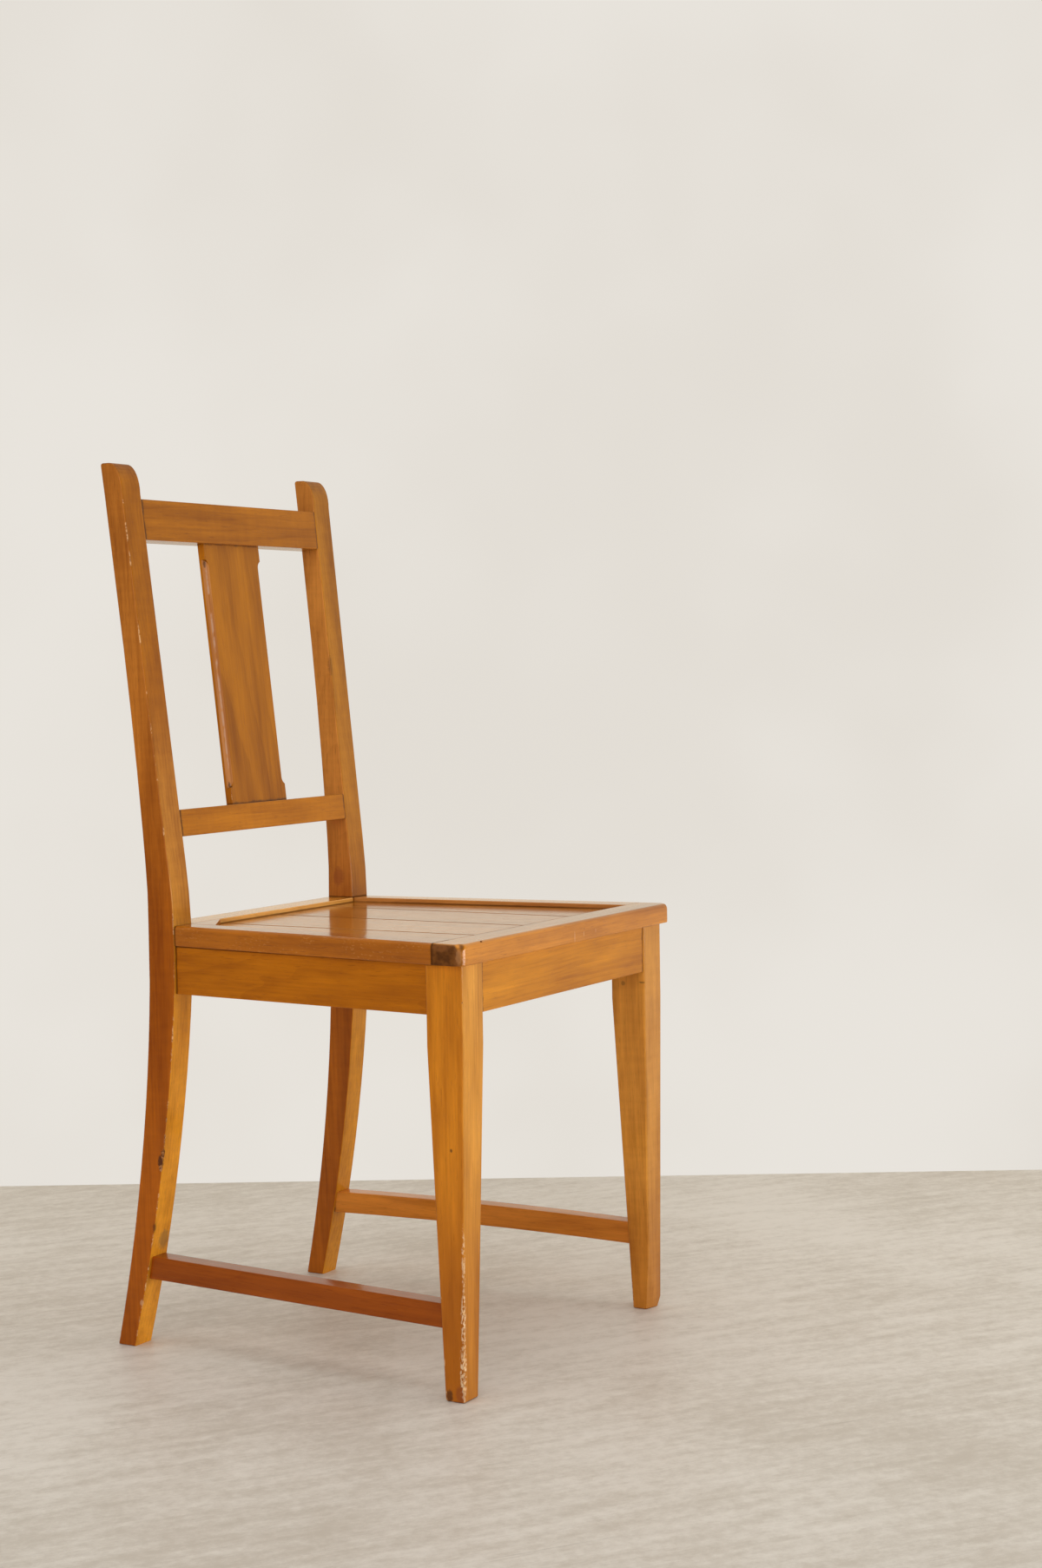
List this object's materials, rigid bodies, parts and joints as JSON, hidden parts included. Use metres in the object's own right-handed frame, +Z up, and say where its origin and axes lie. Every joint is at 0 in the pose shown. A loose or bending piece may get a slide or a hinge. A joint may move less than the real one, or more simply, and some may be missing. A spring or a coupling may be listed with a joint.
{
  "type": "wooden side chair",
  "caption": "Varnished wooden side chair with curved back posts, a splat between rails, and a slatted seat set inside a frame of boards; light wear.",
  "frame": {"origin": "on the floor, below the middle of the chair's bounding box", "axes": "+Z up; the chair faces -Y, so +Y points to its back; +X is the sitter's left"},
  "size_m": [0.426, 0.4332, 0.887],
  "materials": {
    "frame_wood": "worn gloss varnish",
    "seat_wood": "gloss varnish",
    "inner_wood": "bare"
  },
  "bodies": {
    "root": {"rear_post_right": "frame_wood", "rear_post_left": "frame_wood", "front_leg_right": "frame_wood", "front_leg_left": "frame_wood", "top_rail": "frame_wood", "lower_rail": "frame_wood", "splat": "frame_wood", "front_apron": "frame_wood", "back_apron": "frame_wood", "right_apron": "frame_wood", "left_apron": "frame_wood", "right_stretcher": "frame_wood", "left_stretcher": "frame_wood", "seat_front_board": "seat_wood", "seat_back_board": "seat_wood", "seat_right_board": "seat_wood", "seat_left_board": "seat_wood", "slat_right_outer": "seat_wood", "slat_right_inner": "seat_wood", "slat_left_inner": "seat_wood", "slat_left_outer": "seat_wood", "front_cleat": "inner_wood", "back_cleat": "inner_wood", "corner_filler": "seat_wood", "corner_block_front_right": "inner_wood", "corner_block_front_left": "inner_wood", "corner_block_back_right": "inner_wood", "corner_block_back_left": "inner_wood"}
  },
  "joints": []
}
